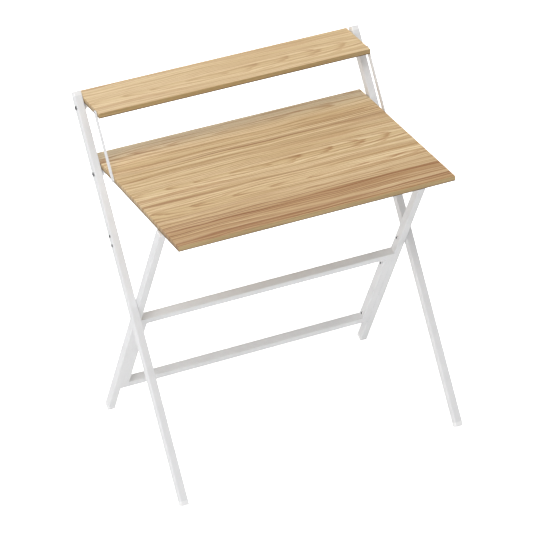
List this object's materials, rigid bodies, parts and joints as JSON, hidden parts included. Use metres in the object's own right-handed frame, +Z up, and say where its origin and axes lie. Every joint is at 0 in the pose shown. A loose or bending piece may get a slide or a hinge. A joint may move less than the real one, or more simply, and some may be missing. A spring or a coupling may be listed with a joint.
{
  "type": "folding computer desk",
  "caption": "Folding computer desk: a wood-effect top and a raised rear shelf on a white tubular X frame, linked so that top, shelf and legs fold together.",
  "frame": {"origin": "on the floor, under the middle of the overall box", "axes": "+X to the user's right, +Y away from the user towards the back, +Z up"},
  "size_m": [0.8272, 0.642, 0.9061],
  "materials": {
    "oak_laminate": "satin wood-effect laminate, light oak with darker grain lines along X",
    "white_steel": "smooth white powder coat",
    "white_plastic": "moulded white plastic with a soft sheen",
    "dark_steel": "dark oxide finish",
    "zinc_steel": "bright zinc plating",
    "nylon": "plain natural nylon"
  },
  "bodies": {
    "long_legs": {"lower_leg_left": "white_steel", "lower_leg_right": "white_steel", "upper_post_left": "white_steel", "upper_post_right": "white_steel", "splice_sleeve_left": "zinc_steel", "splice_sleeve_right": "zinc_steel", "front_foot_left": "white_plastic", "front_foot_right": "white_plastic", "post_cap_left": "white_plastic", "post_cap_right": "white_plastic", "splice_screws": "zinc_steel", "desk_pivot_bolts": "dark_steel", "desk_pivot_spacers": "nylon", "desk_pivot_nuts": "zinc_steel", "shelf_pivot_bolts": "dark_steel", "shelf_pivot_spacers": "nylon", "shelf_pivot_nuts": "zinc_steel", "cross_pivot_bolts": "zinc_steel", "cross_pivot_washers": "nylon", "cross_pivot_nuts": "zinc_steel"},
    "short_legs": {"short_leg_left": "white_steel", "short_leg_right": "white_steel", "side_rail_left": "white_steel", "side_rail_right": "white_steel", "rear_foot_left": "white_plastic", "rear_foot_right": "white_plastic", "short_leg_cap_left": "white_plastic", "short_leg_cap_right": "white_plastic", "upper_crossbar": "white_steel", "lower_crossbar": "white_steel", "rest_rail": "white_steel", "frame_screws": "zinc_steel", "frame_nuts": "zinc_steel"},
    "desktop": {"desktop_panel": "oak_laminate", "desk_bracket_left": "white_steel", "desk_bracket_right": "white_steel", "rest_hook_left": "white_plastic", "rest_hook_right": "white_plastic", "desk_bracket_screws": "zinc_steel", "hook_screws": "zinc_steel", "desk_link_screws": "zinc_steel", "desk_link_washers": "nylon"},
    "shelf": {"shelf_panel": "oak_laminate", "shelf_bracket_left": "white_steel", "shelf_bracket_right": "white_steel", "shelf_bracket_screws": "zinc_steel", "shelf_link_screws": "zinc_steel", "shelf_link_washers": "nylon"},
    "link_left": {"link_left": "white_steel"},
    "link_right": {"link_right": "white_steel"}
  },
  "joints": [
    {"name": "desktop_fold", "type": "hinge", "parent": "long_legs", "child": "desktop", "pos_m": [0, 0.18212, 0.7225], "axis": [-1, 0, 0], "range_deg": [0, 95]},
    {"name": "shelf_fold", "type": "hinge", "parent": "long_legs", "child": "shelf", "pos_m": [0, 0.28084, 0.86615], "axis": [-1, 0, 0], "range_deg": [0, 95]},
    {"name": "link_left_fold", "type": "hinge", "parent": "desktop", "child": "link_left", "pos_m": [0, 0.10812, 0.7395], "axis": [-1, 0, 0], "range_deg": [-95, 0]},
    {"name": "link_right_fold", "type": "hinge", "parent": "desktop", "child": "link_right", "pos_m": [0, 0.10812, 0.7395], "axis": [-1, 0, 0], "range_deg": [-95, 0]},
    {"name": "leg_fold", "type": "hinge", "parent": "long_legs", "child": "short_legs", "pos_m": [0, -0.01726, 0.43241], "axis": [-1, 0, 0], "range_deg": [0, 59]}
  ],
  "couplings": [
    {"joint": "shelf_fold", "follows": "desktop_fold", "ratio": 1},
    {"joint": "link_left_fold", "follows": "desktop_fold", "ratio": -1},
    {"joint": "link_right_fold", "follows": "desktop_fold", "ratio": -1},
    {"joint": "leg_fold", "follows": "desktop_fold", "ratio": 0.62105}
  ]
}
